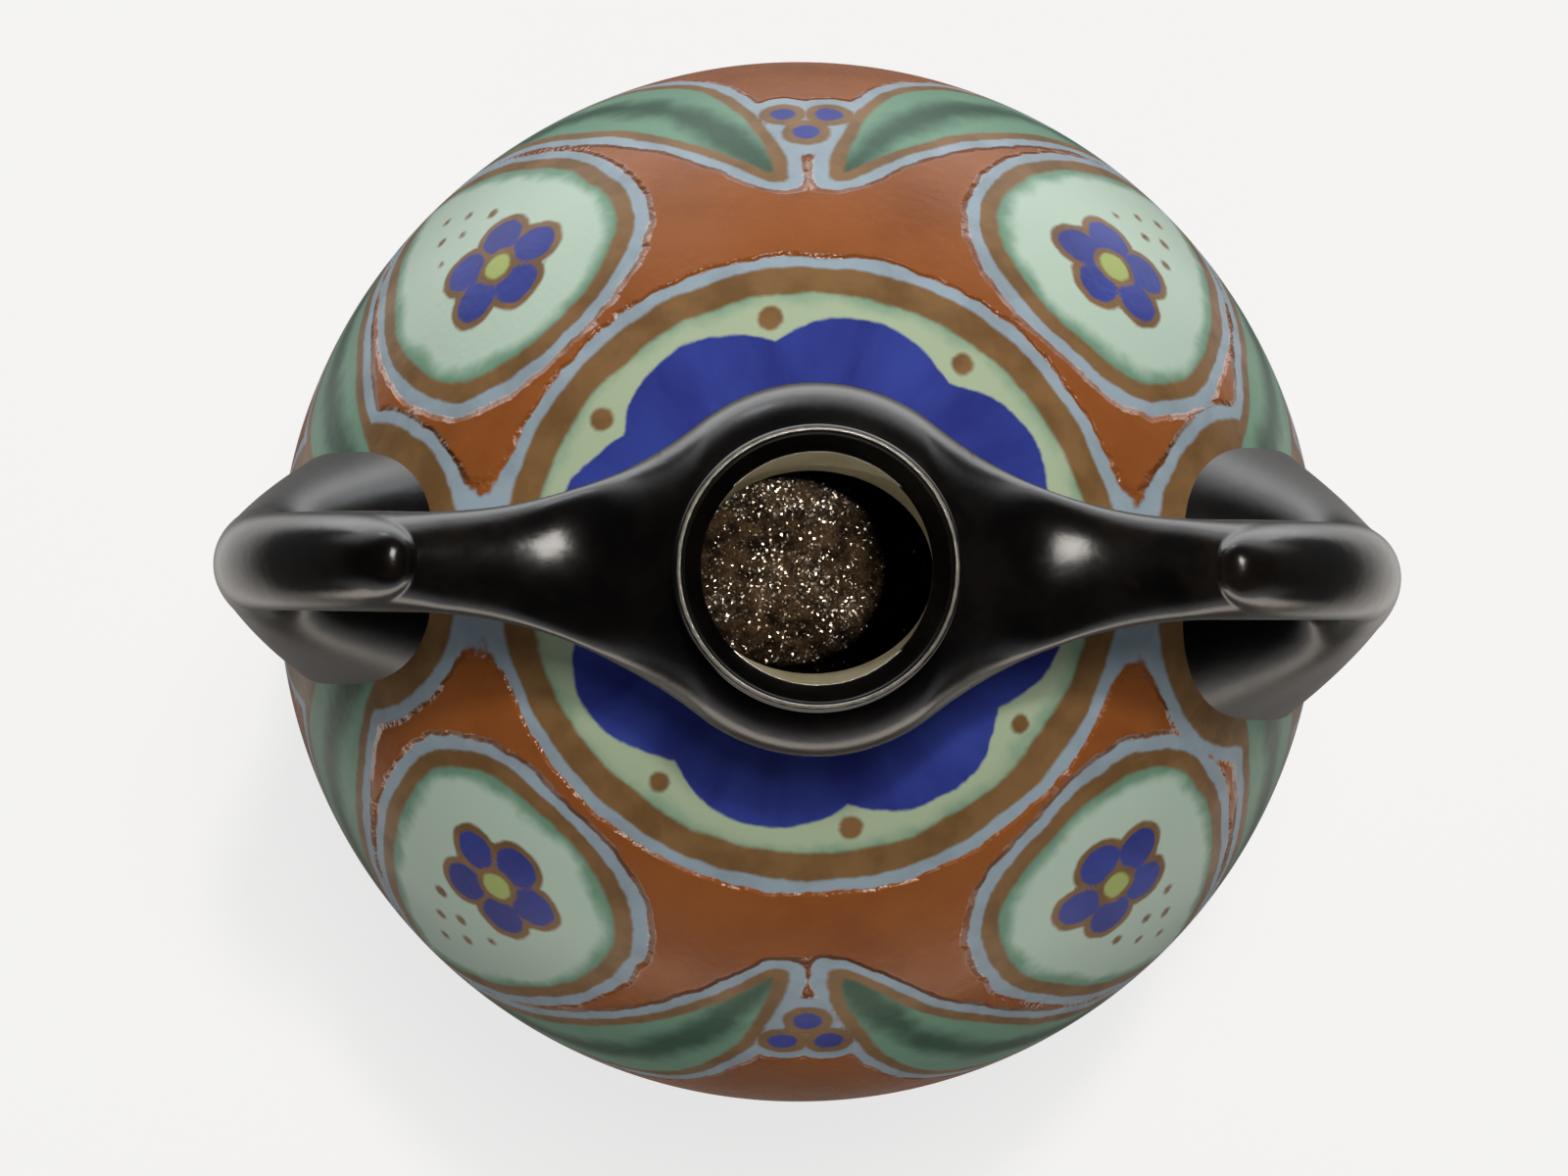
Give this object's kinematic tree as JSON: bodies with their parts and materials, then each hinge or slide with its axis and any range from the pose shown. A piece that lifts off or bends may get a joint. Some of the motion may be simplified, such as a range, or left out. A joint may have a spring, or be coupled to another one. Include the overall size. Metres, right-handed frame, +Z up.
{
  "type": "ceramic vase",
  "caption": "Globular two-handled ceramic vase with a foot ring, collared neck, raised lip and knuckled strap handles, in satin black and painted glaze.",
  "frame": {"origin": "on the table at the centre of the foot", "axes": "+Z up along the axis of the body; the handles stand along X, the left one towards -X; +Y is the back"},
  "size_m": [0.1426, 0.14, 0.1633],
  "materials": {
    "painted_glaze": "satin, painted",
    "black_glaze": "satin",
    "bare_clay": "matt, unglazed"
  },
  "bodies": {
    "root": {"body_lower": "painted_glaze", "body_upper": "painted_glaze", "foot_ring": "bare_clay", "neck": "black_glaze", "lip_ring": "black_glaze", "handle_left": "black_glaze", "handle_right": "black_glaze"}
  },
  "joints": []
}
